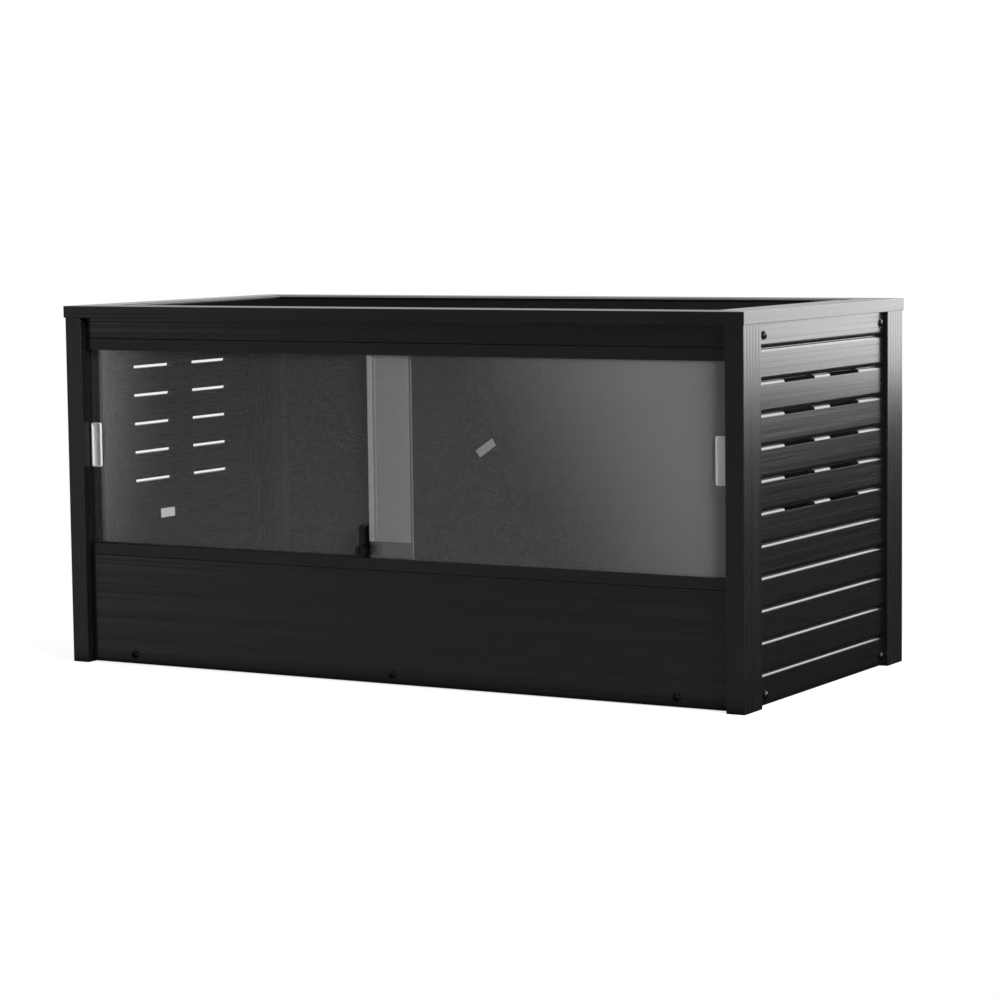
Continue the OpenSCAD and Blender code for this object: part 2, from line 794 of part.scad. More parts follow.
post_front_left();
post_front_right();
post_back_left();
post_back_right();
for (k = [1:slat_count]) left_slat(k);
for (k = [1:slat_count]) right_slat(k);
back_panel();
floor_panel();
lower_front_board();
header_board();
bottom_track();
top_track();
front_battens();
back_battens();
cap_front();
cap_back();
cap_left();
cap_right();
cap_corner_keys();
screen_rail_front();
screen_rail_back();
screen_rail_left();
screen_rail_right();
screen_mesh();
screen_spline();
left_glass_pane();
right_glass_pane();
left_finger_pull();
right_finger_pull();
gap_strip();
lock_body();
lock_plug();
side_screws();
front_screws();
back_screws();
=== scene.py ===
import math

import bpy
from mathutils import Matrix, Vector


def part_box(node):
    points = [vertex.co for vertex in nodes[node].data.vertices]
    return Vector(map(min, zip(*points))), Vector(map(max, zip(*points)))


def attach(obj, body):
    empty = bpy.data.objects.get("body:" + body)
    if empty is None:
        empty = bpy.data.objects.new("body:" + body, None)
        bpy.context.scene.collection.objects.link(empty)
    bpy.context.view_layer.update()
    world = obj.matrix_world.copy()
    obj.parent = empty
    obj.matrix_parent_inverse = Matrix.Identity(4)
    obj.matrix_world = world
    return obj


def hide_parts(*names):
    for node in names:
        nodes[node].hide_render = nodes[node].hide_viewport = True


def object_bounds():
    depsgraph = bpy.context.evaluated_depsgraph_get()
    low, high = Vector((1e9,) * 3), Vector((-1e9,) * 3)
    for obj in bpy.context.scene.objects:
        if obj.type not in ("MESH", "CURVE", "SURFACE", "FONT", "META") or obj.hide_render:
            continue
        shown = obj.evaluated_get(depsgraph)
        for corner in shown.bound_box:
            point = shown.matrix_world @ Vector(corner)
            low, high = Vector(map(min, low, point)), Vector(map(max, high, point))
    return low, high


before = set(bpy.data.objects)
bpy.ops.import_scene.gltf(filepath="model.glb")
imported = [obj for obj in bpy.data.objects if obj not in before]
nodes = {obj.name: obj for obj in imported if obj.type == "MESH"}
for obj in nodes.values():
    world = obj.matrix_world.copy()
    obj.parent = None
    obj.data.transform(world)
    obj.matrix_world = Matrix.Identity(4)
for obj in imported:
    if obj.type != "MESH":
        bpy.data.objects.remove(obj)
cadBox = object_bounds()
scene = bpy.context.scene
mm = 0.001  # metres


def linear(hexColour):  # sRGB hex to linear RGBA
    parts = [int(hexColour[i:i + 2], 16) / 255 for i in (0, 2, 4)]
    return tuple(p / 12.92 if p <= 0.04045 else ((p + 0.055) / 1.055) ** 2.4
                 for p in parts) + (1.0,)


def newMaterial(name):
    material = bpy.data.materials.new(name)
    material.use_nodes = True
    material.node_tree.nodes.clear()
    return material, material.node_tree


# inputs are a list in the sockets' order, or a dictionary by socket;
# a node or a socket is linked, and anything else is set, text as a hex colour
def addNode(tree, kind, inputs=(), **settings):
    made = tree.nodes.new("ShaderNode" + kind)
    for name, value in settings.items():
        setattr(made, name, value)
    pairs = inputs.items() if isinstance(inputs, dict) else enumerate(inputs)
    for name, value in pairs:
        if isinstance(value, bpy.types.Node):
            value = value.outputs[0]
        if isinstance(value, bpy.types.NodeSocket):
            tree.links.new(value, made.inputs[name])
        elif isinstance(value, str):
            made.inputs[name].default_value = linear(value)
        else:
            made.inputs[name].default_value = value
    return made


def coat(material, *names):  # gives a finish to CAD nodes, in every slot they have
    for name in names:
        for slot in nodes[name].material_slots:
            slot.material = material


def meshPiece(name, verts, faces, material, body, smooth=False):
    mesh = bpy.data.meshes.new(name)
    mesh.from_pydata(verts, [], faces)
    mesh.validate()
    mesh.materials.append(material)
    if smooth:
        mesh.shade_smooth()
    else:
        mesh.shade_flat()
    piece = bpy.data.objects.new(name, mesh)
    scene.collection.objects.link(piece)
    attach(piece, body)
    return piece


camera = {
    "position": (2.637, -4.468, 0.781),
    "yaw": 30.204,  # degrees to the left of straight ahead
    "pitch": 5.571,  # degrees downwards
    "roll": -0.69,  # degrees
    "focalPixels": 3078.6,
    "framePixels": 1000,
    "sensorWidth": 36,  # mm
    "farEnd": 100,  # metres, past which nothing is drawn
}


def makeCamera():
    yaw, pitch, roll = (math.radians(camera[k]) for k in ("yaw", "pitch", "roll"))
    forward = Vector((-math.sin(yaw) * math.cos(pitch), math.cos(yaw) * math.cos(pitch),
                      -math.sin(pitch)))
    right = Vector((math.cos(yaw), math.sin(yaw), 0))
    up = right.cross(forward)
    tiltedRight = right * math.cos(roll) + up * math.sin(roll)
    tiltedUp = up * math.cos(roll) - right * math.sin(roll)
    data = bpy.data.cameras.new("camera")
    data.sensor_width = camera["sensorWidth"]
    data.lens = camera["focalPixels"] * data.sensor_width / camera["framePixels"]
    data.clip_end = camera["farEnd"]
    made = bpy.data.objects.new("camera", data)
    scene.collection.objects.link(made)
    turn = Matrix((tiltedRight, tiltedUp, -forward)).transposed().to_4x4()
    made.matrix_world = Matrix.Translation(camera["position"]) @ turn
    scene.camera = made


makeCamera()
print("camera ready")


studio = {
    "floorHalf": 20.0,  # metres from its middle to each side
    "floorColour": "a0a0a0",  # pale paper
    "floorLift": 0.78,  # its own light, so that it reads white away from the object
    "shadowReach": 0.35,  # metres from the object over which the floor's shadow fades out
    "glossPaintedShade": "1e1e1e",  # painted shade: a darker floor that only gloss finds, beside and behind the object
    "glossFloorEdge": 0.1,  # metres in front of the object over which gloss finds the room instead
    "roomStrength": 0.085,  # dim room on the camera's side
    "roomFloorStrength": 0.345,  # its floor, a little lighter
    "roomFloorEdges": (-0.026, -0.113),  # how far up a ray points where that starts and is full
    "backStrength": 1.0,  # white sweep behind the object
    "backEdges": (-0.2, 0.2),  # how far backwards a ray points where the sweep starts and is full
    "windowStrength": 2.85,  # small soft bright zone far to the front left
    "windowAzimuth": 39.1,  # degrees from straight in front towards the left
    "windowDip": 3.0,  # degrees that its middle lies below the horizon
    "windowReach": 3.3,  # degrees from its middle over which it fades out
    "windowTall": 2.5,  # its height for each unit of width
    "windowFalloff": 4.0,  # power that gathers its light in the middle
    "lights": [
        # name, position, aims at, width, height, radiance
        ("sideBox", (1.45, 1.70, 1.195), (1.1, 0.0, 1.195), 1.9, 1.62, 4.4),
        ("overhead", (-0.8, -0.2, 3.4), (-0.8, -0.2, 0.0), 4.2, 2.4, 1.2),
        ("frontRight", (3.9, -1.7, 1.7), (-0.2, 0.0, 0.3), 2.0, 1.4, 31.5),
    ],
}


def makeLight(name, position, target, width, height, radiance):
    data = bpy.data.lights.new(name, "AREA")
    data.shape = "RECTANGLE"
    data.size, data.size_y = width, height
    data.energy = radiance * math.pi * width * height  # watts that give this radiance
    made = bpy.data.objects.new(name, data)
    scene.collection.objects.link(made)
    away = Vector(position) - Vector(target)
    turn = away.to_track_quat("Z", "Y").to_matrix().to_4x4()
    made.matrix_world = Matrix.Translation(position) @ turn
    made.visible_camera = False


# 1 for what the eye sees itself or through glass; gloss is left out, so that
# black faces on the camera's side mirror a dim room and not the white paper
def seenDirectly(tree, path):
    return addNode(tree, "Math", [path.outputs["Is Camera Ray"],
                                  path.outputs["Is Transmission Ray"]], operation="MAXIMUM")


def makeWorld():  # dim room in front with one soft window, white sweep behind
    v = studio
    world = bpy.data.worlds.new("studio")
    world.use_nodes = True
    tree = world.node_tree
    tree.nodes.clear()
    seen = seenDirectly(tree, addNode(tree, "LightPath"))
    ray = addNode(tree, "TexCoord").outputs["Generated"]
    axes = addNode(tree, "SeparateXYZ", [ray])
    front = addNode(tree, "MapRange", [axes.outputs[2], *v["roomFloorEdges"],
                                       v["roomStrength"], v["roomFloorStrength"]])
    room = addNode(tree, "MapRange", [axes.outputs[1], *v["backEdges"], front, v["backStrength"]],
                   interpolation_type="SMOOTHSTEP")
    turn, dip, reach = (math.radians(v[k]) for k in ("windowAzimuth", "windowDip", "windowReach"))
    squash = 1 / v["windowTall"]
    middle = Vector((-math.sin(turn), -math.cos(turn), -math.tan(dip) * squash)).normalized()
    squat = addNode(tree, "VectorMath", [ray, (1.0, 1.0, squash)], operation="MULTIPLY")
    evened = addNode(tree, "VectorMath", [squat], operation="NORMALIZE")
    toWindow = addNode(tree, "VectorMath", [evened, middle], operation="DOT_PRODUCT")
    within = addNode(tree, "MapRange", [toWindow.outputs["Value"], math.cos(reach), 1.0])
    window = addNode(tree, "Math", [within, v["windowFalloff"]], operation="POWER")
    level = addNode(tree, "Math", [window, v["windowStrength"], room], operation="MULTIPLY_ADD")
    lit = addNode(tree, "Background", ["ffffff", level])
    white = addNode(tree, "Background", ["ffffff", 1.0])
    addNode(tree, "OutputWorld", [addNode(tree, "MixShader", [seen, lit, white])])
    scene.world = world


def makeFloor():  # pale paper that keeps the object's shadow; gloss finds painted shade beside and behind, and an open floor in front
    v = studio
    lo, hi = cadBox
    material, tree = newMaterial("paperSweep")
    path = addNode(tree, "LightPath")
    place = addNode(tree, "TexCoord").outputs["Object"]
    folded = addNode(tree, "VectorMath", [place], operation="ABSOLUTE")
    outside = addNode(tree, "VectorMath", [folded, (hi[0], hi[1], 0.0)], operation="SUBTRACT")
    beyond = addNode(tree, "VectorMath", [outside, (0.0, 0.0, 0.0)], operation="MAXIMUM")
    reach = addNode(tree, "VectorMath", [beyond], operation="LENGTH")
    away = addNode(tree, "MapRange", [reach.outputs["Value"], 0.0, v["shadowReach"]],
                   interpolation_type="SMOOTHSTEP")
    paper = addNode(tree, "BsdfDiffuse", [v["floorColour"]])
    lift = addNode(tree, "Emission", ["ffffff", v["floorLift"]])
    lifted = addNode(tree, "AddShader", [paper, lift])
    white = addNode(tree, "Emission", ["ffffff", 1.0])
    shown = addNode(tree, "MixShader", [away, lifted, white])
    # painted shade: the darker floor that gloss rays find
    paintedShade = addNode(tree, "BsdfDiffuse", [v["glossPaintedShade"]])
    passing = addNode(tree, "BsdfTransparent")
    axes = addNode(tree, "SeparateXYZ", [place])
    inFront = addNode(tree, "MapRange", [axes.outputs[1], lo[1], lo[1] - v["glossFloorEdge"]])
    gloss = addNode(tree, "MixShader", [inFront, paintedShade, passing])
    bounce = addNode(tree, "MixShader", [path.outputs["Is Glossy Ray"], paper, gloss])
    mix = addNode(tree, "MixShader", [seenDirectly(tree, path), bounce, shown])
    addNode(tree, "OutputMaterial", [mix])
    half = v["floorHalf"]
    corners = [(-half, -half, 0), (half, -half, 0), (half, half, 0), (-half, half, 0)]
    mesh = bpy.data.meshes.new("floor")
    mesh.from_pydata(corners, [], [(0, 1, 2, 3)])
    mesh.materials.append(material)
    floor = bpy.data.objects.new("floor", mesh)
    scene.collection.objects.link(floor)


scene.view_settings.view_transform = "Standard"
makeWorld()
makeFloor()
for row in studio["lights"]:
    makeLight(*row)
print("studio ready")


usual = (0.3, 0.7)  # most of a noise lies between these
narrow = (0.35, 0.65)  # closer together, for more contrast
cornerRays = 4  # samples that round a corner


def lined(tree, along, fine, long, detail=2.0):  # noise drawn out along one axis, sizes in mm
    place = addNode(tree, "TexCoord").outputs["Object"]
    scale = tuple(1 / ((long if axis == along else fine) * mm) for axis in "xyz")
    stretched = addNode(tree, "Mapping", {"Vector": place, "Scale": scale})
    return addNode(tree, "TexNoise", {"Vector": stretched, "Scale": 1.0, "Detail": detail})


def grained(tree, size, detail=2.0):  # even noise with features of this many mm
    place = addNode(tree, "TexCoord").outputs["Object"]
    return addNode(tree, "TexNoise", {"Vector": place, "Scale": 1 / (size * mm), "Detail": detail})


aluminium = {
    "colour": "060607",
    "worn": "0f0f10",
    "cloudSize": 110,  # mm between paler patches
    "roughness": (0.24, 0.31),  # on and between the die lines
    "lineSpacing": 2.5,  # mm
    "lineLength": 900,  # mm
    "lineDepth": 0.06,  # mm
    "lineStrength": 0.10,
    "peelSize": 1.4,  # mm across one bump
    "peelDepth": 0.05,  # mm
    "peelStrength": 0.12,
    "upward": (0.6, 0.95),  # how far a face looks up where dust starts and is full
    "dust": {"x": 0.10, "y": 0.0, "z": 0.10},  # roughness it adds to bars along each axis
    "edge": 1.2,  # mm over which corners are rounded
    "ior": 1.5,
}


# extruded and powder coated: soft sheen, faint die lines, fine orange peel
def coatedAluminium(along):
    v = aluminium
    material, tree = newMaterial("powderCoatedAluminium_" + along)
    cloud = grained(tree, v["cloudSize"], detail=3.0)
    colour = addNode(tree, "Mix", {0: cloud, 6: v["colour"], 7: v["worn"]}, data_type="RGBA")
    lines = lined(tree, along, v["lineSpacing"], v["lineLength"])
    rough = addNode(tree, "MapRange", [lines, *usual, *v["roughness"]])
    facing = addNode(tree, "SeparateXYZ", [addNode(tree, "TexCoord").outputs["Normal"]])
    dull = addNode(tree, "MapRange", [facing.outputs[2], *v["upward"], 0.0, v["dust"][along]])
    dusty = addNode(tree, "Math", [rough, dull], operation="ADD")
    peel = grained(tree, v["peelSize"], detail=1.0)
    normal = addNode(tree, "Bevel", {"Radius": v["edge"] * mm}, samples=cornerRays)
    for height, depth, strength in ((lines, v["lineDepth"], v["lineStrength"]),
                                    (peel, v["peelDepth"], v["peelStrength"])):
        normal = addNode(tree, "Bump", {"Height": height, "Distance": depth * mm,
                                        "Strength": strength, "Normal": normal})
    surface = addNode(tree, "BsdfPrincipled", {"Base Color": colour.outputs[2], "Roughness": dusty,
                                               "Normal": normal, "IOR": v["ior"]})
    addNode(tree, "OutputMaterial", [surface])
    return material


plank = {
    "colour": "050505",
    "worn": "0f0f10",
    "roughness": (0.30, 0.20),  # between and on the streaks
    "span": (0.75, 1.25),  # most of the sum of bands and streaks lies between these
    "bandSpacing": 9.0,  # mm
    "bandLength": 1400,  # mm
    "bandDepth": 0.25,  # mm
    "streakSpacing": 2.0,  # mm, coarser than real hairlines so that they show
    "streakLength": 900,  # mm
    "streakDepth": 0.05,  # mm
    "grainSpacing": 16.0,  # mm
    "grainLength": 700,  # mm
    "grainDepth": 0.04,  # mm
    "grainWidth": 0.012,  # how near the noise's middle a line reaches
    "strength": 0.25,
    "brushing": {"y": 1.0, "x": 0.4},  # share of that on side planks and front boards
    "edge": 0.6,  # mm over which corners are rounded
    "ior": 1.5,
}


# extruded wood-plastic composite, brushed: satin, with long hairline streaks
def compositePlank(along):
    v = plank
    material, tree = newMaterial("brushedComposite_" + along)
    bands = lined(tree, along, v["bandSpacing"], v["bandLength"])
    streaks = lined(tree, along, v["streakSpacing"], v["streakLength"], detail=1.0)
    waves = lined(tree, along, v["grainSpacing"], v["grainLength"], detail=2.5)
    off = addNode(tree, "Math", [waves, 0.5], operation="SUBTRACT")  # from the noise's middle
    near = addNode(tree, "Math", [off], operation="ABSOLUTE")
    grain = addNode(tree, "MapRange", [near, 0.0, v["grainWidth"]])  # thin embossed lines
    both = addNode(tree, "Math", [bands, streaks], operation="ADD")
    tint = addNode(tree, "MapRange", [both, *v["span"]])
    share = addNode(tree, "Math", [tint, grain], operation="MULTIPLY")
    colour = addNode(tree, "Mix", {0: share, 6: v["colour"], 7: v["worn"]}, data_type="RGBA")
    rough = addNode(tree, "MapRange", [both, *v["span"], *v["roughness"]])
    normal = addNode(tree, "Bevel", {"Radius": v["edge"] * mm}, samples=cornerRays)
    for height, depth in ((bands, v["bandDepth"]), (streaks, v["streakDepth"]),
                          (grain, v["grainDepth"])):
        normal = addNode(tree, "Bump", {"Height": height, "Distance": depth * mm,
                                        "Strength": v["strength"] * v["brushing"][along],
                                        "Normal": normal})
    surface = addNode(tree, "BsdfPrincipled", {"Base Color": colour.outputs[2], "Roughness": rough,
                                               "Normal": normal, "IOR": v["ior"]})
    addNode(tree, "OutputMaterial", [surface])
    return material


track = {
    "colour": "070708",
    "worn": "0c0c0d",
    "roughness": (0.26, 0.35),
    "lineSpacing": 1.6,  # mm
    "lineLength": 700,  # mm
    "lineDepth": 0.05,  # mm
    "strength": 0.2,
    "edge": 0.5,  # mm over which corners are rounded
    "ior": 1.5,
}


def extrudedTrack():  # extruded PVC: satin, with drawn lines finer than a plank's
    v = track
    material, tree = newMaterial("extrudedPvc")
    lines = lined(tree, "x", v["lineSpacing"], v["lineLength"])
    colour = addNode(tree, "Mix", {0: lines, 6: v["colour"], 7: v["worn"]}, data_type="RGBA")
    rough = addNode(tree, "MapRange", [lines, *usual, *v["roughness"]])
    rounded = addNode(tree, "Bevel", {"Radius": v["edge"] * mm}, samples=cornerRays)
    drawn = addNode(tree, "Bump", {"Height": lines, "Distance": v["lineDepth"] * mm,
                                   "Strength": v["strength"], "Normal": rounded})
    surface = addNode(tree, "BsdfPrincipled", {"Base Color": colour.outputs[2], "Roughness": rough,
                                               "Normal": drawn, "IOR": v["ior"]})
    addNode(tree, "OutputMaterial", [surface])
    return material


sheet = {
    "colour": "222223",
    "worn": "292a2b",
    "cloudSize": 60,  # mm between paler patches
    "roughness": (0.37, 0.47),
    "grainSize": 1.8,  # mm across one cell
    "grainDepth": 0.08,  # mm
    "strength": 0.25,
    "ior": 1.5,
}


def foamedSheet():  # foamed PVC sheet, embossed with a fine leathery grain: dull sheen
    v = sheet
    material, tree = newMaterial("embossedPvcSheet")
    cloud = grained(tree, v["cloudSize"], detail=3.0)
    colour = addNode(tree, "Mix", {0: cloud, 6: v["colour"], 7: v["worn"]}, data_type="RGBA")
    rough = addNode(tree, "MapRange", [cloud, *usual, *v["roughness"]])
    place = addNode(tree, "TexCoord").outputs["Object"]
    cells = addNode(tree, "TexVoronoi", {"Vector": place, "Scale": 1 / (v["grainSize"] * mm)},
                    feature="SMOOTH_F1")
    embossed = addNode(tree, "Bump", {"Height": cells, "Distance": v["grainDepth"] * mm,
                                      "Strength": v["strength"]})
    surface = addNode(tree, "BsdfPrincipled", {"Base Color": colour.outputs[2], "Roughness": rough,
                                               "Normal": embossed, "IOR": v["ior"]})
    addNode(tree, "OutputMaterial", [surface])
    return material


batten = {
    "colour": "1c1b1b",
    "worn": "2c2a29",
    "fleckSize": 4,  # mm
    "roughness": 0.55,
    "grainSpacing": 1.2,  # mm
    "grainLength": 30,  # mm
    "grainDepth": 0.12,  # mm
    "strength": 0.4,
    "ior": 1.5,
}


def sawnComposite():  # sawn wood-plastic composite: matt and flecked, with short torn grain
    v = batten
    material, tree = newMaterial("sawnComposite")
    fleck = grained(tree, v["fleckSize"], detail=3.0)
    colour = addNode(tree, "Mix", {0: fleck, 6: v["colour"], 7: v["worn"]}, data_type="RGBA")
    grain = lined(tree, "x", v["grainSpacing"], v["grainLength"], detail=3.0)
    torn = addNode(tree, "Bump", {"Height": grain, "Distance": v["grainDepth"] * mm,
                                  "Strength": v["strength"]})
    surface = addNode(tree, "BsdfPrincipled", {"Base Color": colour.outputs[2],
                                               "Roughness": v["roughness"],
                                               "Normal": torn, "IOR": v["ior"]})
    addNode(tree, "OutputMaterial", [surface])
    return material


cornerKey = {
    "colour": "1a1a1b",
    "worn": "262627",
    "cloudSize": 12,  # mm between paler patches
    "roughness": 0.45,
    "sparkSize": 0.9,  # mm
    "sparkDepth": 0.06,  # mm
    "strength": 0.3,
    "ior": 1.53,
}


def mouldedNylon():  # glass-filled nylon, moulded: even grey-black with a fine spark texture
    v = cornerKey
    material, tree = newMaterial("mouldedNylon")
    cloud = grained(tree, v["cloudSize"])
    colour = addNode(tree, "Mix", {0: cloud, 6: v["colour"], 7: v["worn"]}, data_type="RGBA")
    spark = addNode(tree, "Bump", {"Height": grained(tree, v["sparkSize"]),
                                   "Distance": v["sparkDepth"] * mm, "Strength": v["strength"]})
    surface = addNode(tree, "BsdfPrincipled", {"Base Color": colour.outputs[2],
                                               "Roughness": v["roughness"],
                                               "Normal": spark, "IOR": v["ior"]})
    addNode(tree, "OutputMaterial", [surface])
    return material


screw = {
    "colour": "2c2c2e",
    "worn": "68686c",
    "rubSize": 3,  # mm between rubbed spots
    "rubEdges": (0.45, 0.75),  # of that noise, where rubbing starts and is full
    "roughness": 0.30,
    "etchSize": 0.8,  # mm
    "etchDepth": 0.03,  # mm
    "strength": 0.3,
}


# steel with black oxide: dark, oily gloss, brighter where the coat has rubbed
def blackenedSteel():
    v = screw
    material, tree = newMaterial("blackOxideSteel")
    rub = addNode(tree, "MapRange", [grained(tree, v["rubSize"], detail=3.0), *v["rubEdges"]])
    colour = addNode(tree, "Mix", {0: rub, 6: v["colour"], 7: v["worn"]}, data_type="RGBA")
    etched = addNode(tree, "Bump", {"Height": grained(tree, v["etchSize"], detail=1.0),
                                    "Distance": v["etchDepth"] * mm, "Strength": v["strength"]})
    surface = addNode(tree, "BsdfPrincipled", {"Base Color": colour.outputs[2], "Metallic": 1.0,
                                               "Roughness": v["roughness"], "Normal": etched})
    addNode(tree, "OutputMaterial", [surface])
    return material


coat(coatedAluminium("x"), "cap_front", "cap_back", "screen_rail_front", "screen_rail_back")
coat(coatedAluminium("y"), "cap_left", "cap_right", "screen_rail_left", "screen_rail_right")
coat(coatedAluminium("z"),
     "post_front_left", "post_front_right", "post_back_left", "post_back_right")
coat(compositePlank("y"), *[f"{side}_slat_{k}" for side in ("left", "right") for k in range(1, 13)])
coat(compositePlank("x"), "lower_front_board", "header_board")
coat(extrudedTrack(), "bottom_track", "top_track")
coat(foamedSheet(), "back_panel", "floor_panel")
coat(sawnComposite(), "front_battens", "back_battens")
coat(mouldedNylon(), "cap_corner_keys")
coat(blackenedSteel(), "side_screws", "front_screws", "back_screws")
print("black finishes ready")


glass = {
    "ior": 1.5,
    "tint": "fcfcfc",  # light that one face lets through
    "edge": "b4bab7",  # frosted grey of the ground edge
    "edgeRoughness": 0.35,
    "edgeIor": 1.52,
    "edgeAlpha": 0.25,
    # colour of the haze, which also carries the painted sheen
    "hazeAndSheen": "f2f2f2",
    "evenHaze": (0.018, 0.018),  # share of even haze at the left and right of the left pane
    "paintedSheen": (0.020, 0.088),  # and of the right pane: faint haze at its left, rising towards its right end as a painted sheen
    "sheenEdges": (0.17, 0.60),  # metres right of the middle, at the height below, where the painted sheen starts and is full
    "sheenHeight": 0.38,
    "sheenSlant": 0.6,  # metres that the painted sheen shifts per metre of height
    "mottle": 0.016,  # how much the haze varies from spot to spot
    "mottleSize": (1.6, 6),  # mm tall and wide, coarse enough to show
}


# float glass, tempered, edges ground: mirrors the room faintly, frosted at the
# edges, with a faint haze; on one pane the haze grows into a painted sheen
def floatGlass(use):
    v = glass
    material, tree = newMaterial("temperedFloatGlass_" + use)
    place = addNode(tree, "TexCoord")
    back = addNode(tree, "NewGeometry").outputs["Backfacing"]
    ratio = addNode(tree, "MapRange", [back, 0.0, 1.0, v["ior"], 1 / v["ior"]])
    mirror = addNode(tree, "Fresnel", {"IOR": ratio})
    clear = addNode(tree, "BsdfTransparent", [v["tint"]])
    shine = addNode(tree, "BsdfGlossy", {"Color": "ffffff", "Roughness": 0.0})
    body = addNode(tree, "MixShader", [mirror, clear, shine])
    axes = addNode(tree, "SeparateXYZ", [place.outputs["Object"]])
    up = addNode(tree, "Math", [axes.outputs[2], v["sheenHeight"]], operation="SUBTRACT")
    slant = addNode(tree, "Math", [up, v["sheenSlant"], axes.outputs[0]], operation="MULTIPLY_ADD")
    # painted sheen: on the right pane the diffuse haze rises towards its right end
    hazeAndSheenAcross = addNode(tree, "MapRange", [slant, *v["sheenEdges"], *v[use]],
                   interpolation_type="SMOOTHSTEP")
    spots = lined(tree, "x", *v["mottleSize"], detail=1.0)
    mottle = addNode(tree, "MapRange", [spots, *narrow, -v["mottle"], v["mottle"]])
    share = addNode(tree, "Math", [hazeAndSheenAcross, mottle], operation="ADD")
    hazeAndSheen = addNode(tree, "BsdfDiffuse", [v["hazeAndSheen"]])
    faceOn = addNode(tree, "MixShader", [share, body, hazeAndSheen])
    facing = addNode(tree, "SeparateXYZ", [place.outputs["Normal"]])
    flat = addNode(tree, "Math", [facing.outputs[1]], operation="ABSOLUTE")
    onEdge = addNode(tree, "Math", [flat, 0.5], operation="LESS_THAN")  # faces look along y
    ground = addNode(tree, "BsdfPrincipled", {"Base Color": v["edge"], "IOR": v["edgeIor"],
                                              "Roughness": v["edgeRoughness"],
                                              "Alpha": v["edgeAlpha"]})
    edge = addNode(tree, "MixShader", [back, ground, clear])
    addNode(tree, "OutputMaterial", [addNode(tree, "MixShader", [onEdge, faceOn, edge])])
    return material


strip = {
    "ior": 1.5,
    "tint": "f4f4f4",  # light that one face lets through
    "roughness": 0.12,
    "waveSize": (6, 160),  # mm wide and tall
    "waveDepth": 0.3,  # mm
    "strength": 0.3,
    "milk": "f4f4f4",
    "milkShare": (0.119, 0.161),
    "mottleSize": (1.6, 6),  # mm tall and wide
}


def clearPvc():  # clear flexible PVC, extruded: slightly milky, wavy gloss
    v = strip
    material, tree = newMaterial("clearExtrudedPvc")
    wavy = addNode(tree, "Bump", {"Height": lined(tree, "z", *v["waveSize"]),
                                  "Distance": v["waveDepth"] * mm, "Strength": v["strength"]})
    back = addNode(tree, "NewGeometry").outputs["Backfacing"]
    ratio = addNode(tree, "MapRange", [back, 0.0, 1.0, v["ior"], 1 / v["ior"]])
    mirror = addNode(tree, "Fresnel", {"IOR": ratio})
    clear = addNode(tree, "BsdfTransparent", [v["tint"]])
    shine = addNode(tree, "BsdfGlossy", {"Color": "ffffff", "Roughness": v["roughness"],
                                         "Normal": wavy})
    body = addNode(tree, "MixShader", [mirror, clear, shine])
    spots = lined(tree, "x", *v["mottleSize"], detail=1.0)
    cloud = addNode(tree, "MapRange", [spots, *narrow, *v["milkShare"]])
    milk = addNode(tree, "BsdfDiffuse", [v["milk"]])
    addNode(tree, "OutputMaterial", [addNode(tree, "MixShader", [cloud, body, milk])])
    return material


pull = {
    "colour": "e6e7e8",
    "worn": "dcddde",
    "cloudSize": 8,  # mm between duller patches
    "metal": 0.25,  # how much of the metal shows through the lacquer
    "roughness": (0.39, 0.46),
    "roughSize": 15,  # mm
    "blastSize": 0.7,  # mm
    "blastDepth": 0.02,  # mm
    "strength": 0.2,
}


# extruded aluminium under satin silver lacquer: pale and even, little mirror
def lacqueredAluminium():
    v = pull
    material, tree = newMaterial("silverLacqueredAluminium")
    cloud = grained(tree, v["cloudSize"])
    colour = addNode(tree, "Mix", {0: cloud, 6: v["worn"], 7: v["colour"]}, data_type="RGBA")
    uneven = grained(tree, v["roughSize"], detail=3.0)
    rough = addNode(tree, "MapRange", [uneven, *usual, *v["roughness"]])
    blasted = addNode(tree, "Bump", {"Height": grained(tree, v["blastSize"]),
                                     "Distance": v["blastDepth"] * mm, "Strength": v["strength"]})
    surface = addNode(tree, "BsdfPrincipled", {"Base Color": colour.outputs[2], "Roughness": rough,
                                               "Normal": blasted, "Metallic": v["metal"]})
    addNode(tree, "OutputMaterial", [surface])
    return material


lock = {
    "body": "030303",
    "bodyWorn": "070708",
    "bodyCloud": 6,  # mm between paler patches
    "bodyRoughness": 0.2,
    "bodyIor": 1.42,
    "castSize": 5,  # mm
    "castDepth": 0.06,  # mm
    "castStrength": 0.3,
    "face": "29292c",
    "faceWorn": "39393d",
    "faceCloud": 4,  # mm
    "faceRoughness": 0.3,
    "ringSpacing": 0.8,  # mm
    "ringDepth": 0.03,  # mm
    "ringStrength": 0.5,
}


# die-cast zinc under black lacquer: deep gloss over a slightly uneven casting
def lacqueredZinc():
    v = lock
    material, tree = newMaterial("lacqueredZinc")
    cloud = grained(tree, v["bodyCloud"])
    colour = addNode(tree, "Mix", {0: cloud, 6: v["body"], 7: v["bodyWorn"]}, data_type="RGBA")
    cast = addNode(tree, "Bump", {"Height": grained(tree, v["castSize"], detail=1.0),
                                  "Distance": v["castDepth"] * mm, "Strength": v["castStrength"]})
    surface = addNode(tree, "BsdfPrincipled", {"Base Color": colour.outputs[2],
                                               "Roughness": v["bodyRoughness"],
                                               "Normal": cast, "IOR": v["bodyIor"]})
    addNode(tree, "OutputMaterial", [surface])
    return material


